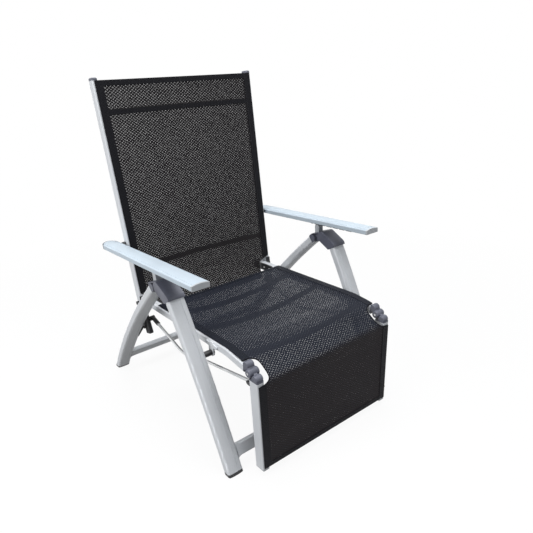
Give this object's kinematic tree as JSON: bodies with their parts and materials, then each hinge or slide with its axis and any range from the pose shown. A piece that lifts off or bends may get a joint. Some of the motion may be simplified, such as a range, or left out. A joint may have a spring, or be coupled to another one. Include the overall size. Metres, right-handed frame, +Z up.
{
  "type": "reclining garden armchair",
  "caption": "Reclining garden armchair with an aluminium frame, stretched mesh seat and back, flat armrests and a linked footrest that swings up as the back leans.",
  "frame": {"origin": "middle of the footprint on the floor, with the back upright", "axes": "+Z up, the sitter faces -Y, the sitter's left is +X"},
  "size_m": [0.7, 0.8882, 1.0468],
  "materials": {
    "frame_aluminium": "satin anodised tube, brushed along its length",
    "armrest_aluminium": "fine satin anodised plank, a little brighter",
    "crossbar_dark": "dark coated tube under the mesh",
    "plastic_blue_grey": "moulded nylon, fine grain",
    "plastic_light_grey": "smooth moulded end caps",
    "plastic_black": "moulded nylon, satin",
    "pin_steel": "turned pins and pan heads",
    "mesh_back": "open woven mesh, coated yarn, stretched tight",
    "mesh_seat": "open woven mesh, coated yarn, doubled hems",
    "mesh_footrest": "open woven mesh, coated yarn"
  },
  "bodies": {
    "seat": {"seat_rail_left": "frame_aluminium", "seat_rail_right": "frame_aluminium", "seat_crossbar_front": "crossbar_dark", "seat_crossbar_middle": "crossbar_dark", "seat_crossbar_rear": "crossbar_dark", "rail_knuckles": "plastic_blue_grey", "pivot_brackets": "frame_aluminium", "seat_hinge_plates": "plastic_black", "hinge_screws": "pin_steel", "seat_fabric": "mesh_seat"},
    "front_legs": {"front_leg_left": "frame_aluminium", "front_leg_right": "frame_aluminium", "front_crossbar": "frame_aluminium", "front_feet": "plastic_black", "apex_front_caps": "plastic_blue_grey", "catch_fins": "plastic_light_grey", "apex_pins": "plastic_blue_grey", "seat_pivot_pins": "pin_steel", "seat_pivot_bushes": "plastic_black"},
    "rear_legs": {"rear_leg_left": "frame_aluminium", "rear_leg_right": "frame_aluminium", "rear_crossbar": "frame_aluminium", "rear_feet": "plastic_black", "apex_rear_caps": "plastic_blue_grey", "link_plates": "plastic_black", "link_pins": "pin_steel"},
    "back": {"back_tube_left": "frame_aluminium", "back_tube_right": "frame_aluminium", "back_top_caps": "plastic_blue_grey", "back_end_fittings": "plastic_black", "upper_crossbar": "crossbar_dark", "lumbar_crossbar": "crossbar_dark", "recline_pins": "plastic_black", "tube_bolts": "plastic_black", "hinge_washers": "plastic_black", "armrest_spacers": "plastic_black", "armrest_bolts": "pin_steel", "rod_pins": "pin_steel", "back_fabric": "mesh_back"},
    "footrest": {"footrest_tube_left": "frame_aluminium", "footrest_tube_right": "frame_aluminium", "footrest_crossbar_upper": "crossbar_dark", "footrest_crossbar_lower": "crossbar_dark", "footrest_knuckles": "plastic_blue_grey", "footrest_pins": "pin_steel", "footrest_end_caps": "plastic_light_grey", "rod_lugs": "plastic_black", "footrest_fabric": "mesh_footrest"},
    "armrest_left_body": {"armrest_left": "armrest_aluminium", "armrest_front_cap_left": "plastic_light_grey", "armrest_rear_rim_left": "plastic_blue_grey", "armrest_rack_left": "plastic_black"},
    "push_rod_left_body": {"push_rod_left": "frame_aluminium", "rod_socket_left": "plastic_black"},
    "armrest_right_body": {"armrest_right": "armrest_aluminium", "armrest_front_cap_right": "plastic_light_grey", "armrest_rear_rim_right": "plastic_blue_grey", "armrest_rack_right": "plastic_black"},
    "push_rod_right_body": {"push_rod_right": "frame_aluminium", "rod_socket_right": "plastic_black"}
  },
  "joints": [
    {"name": "back_recline", "type": "hinge", "parent": "seat", "child": "back", "pos_m": [0, 0.22331, 0.33818], "axis": [-1, 0, 0], "range_deg": [0, 30]},
    {"name": "front_leg_swing", "type": "hinge", "parent": "seat", "child": "front_legs", "pos_m": [0, -0.22161, 0.33043], "axis": [1, 0, 0], "range_deg": [0, 10.6]},
    {"name": "rear_leg_swing", "type": "hinge", "parent": "front_legs", "child": "rear_legs", "pos_m": [0, -0.08572, 0.51503], "axis": [-1, 0, 0], "range_deg": [0, 11.7]},
    {"name": "armrest_left_tilt", "type": "hinge", "parent": "back", "child": "armrest_left_body", "pos_m": [0.296, 0.24841, 0.54663], "axis": [1, 0, 0], "range_deg": [0, 22.6]},
    {"name": "armrest_right_tilt", "type": "hinge", "parent": "back", "child": "armrest_right_body", "pos_m": [-0.296, 0.24841, 0.54663], "axis": [1, 0, 0], "range_deg": [0, 22.6]},
    {"name": "footrest_swing", "type": "hinge", "parent": "seat", "child": "footrest", "pos_m": [0, -0.40118, 0.34248], "axis": [-1, 0, 0], "range_deg": [0, 44.4]},
    {"name": "push_rod_left_turn", "type": "hinge", "parent": "back", "child": "push_rod_left_body", "pos_m": [0.2545, 0.19909, 0.27735], "axis": [1, 0, 0], "range_deg": [0, 32.3]},
    {"name": "push_rod_right_turn", "type": "hinge", "parent": "back", "child": "push_rod_right_body", "pos_m": [-0.2545, 0.19909, 0.27735], "axis": [1, 0, 0], "range_deg": [0, 32.3]}
  ],
  "couplings": [
    {"joint": "front_leg_swing", "follows": "back_recline", "ratio": 0.3442},
    {"joint": "rear_leg_swing", "follows": "back_recline", "ratio": 0.3803},
    {"joint": "armrest_left_tilt", "follows": "back_recline", "ratio": 0.7433},
    {"joint": "armrest_right_tilt", "follows": "back_recline", "ratio": 0.7433},
    {"joint": "footrest_swing", "follows": "back_recline", "ratio": 1.4646},
    {"joint": "push_rod_left_turn", "follows": "back_recline", "ratio": 1.0634},
    {"joint": "push_rod_right_turn", "follows": "back_recline", "ratio": 1.0634}
  ]
}
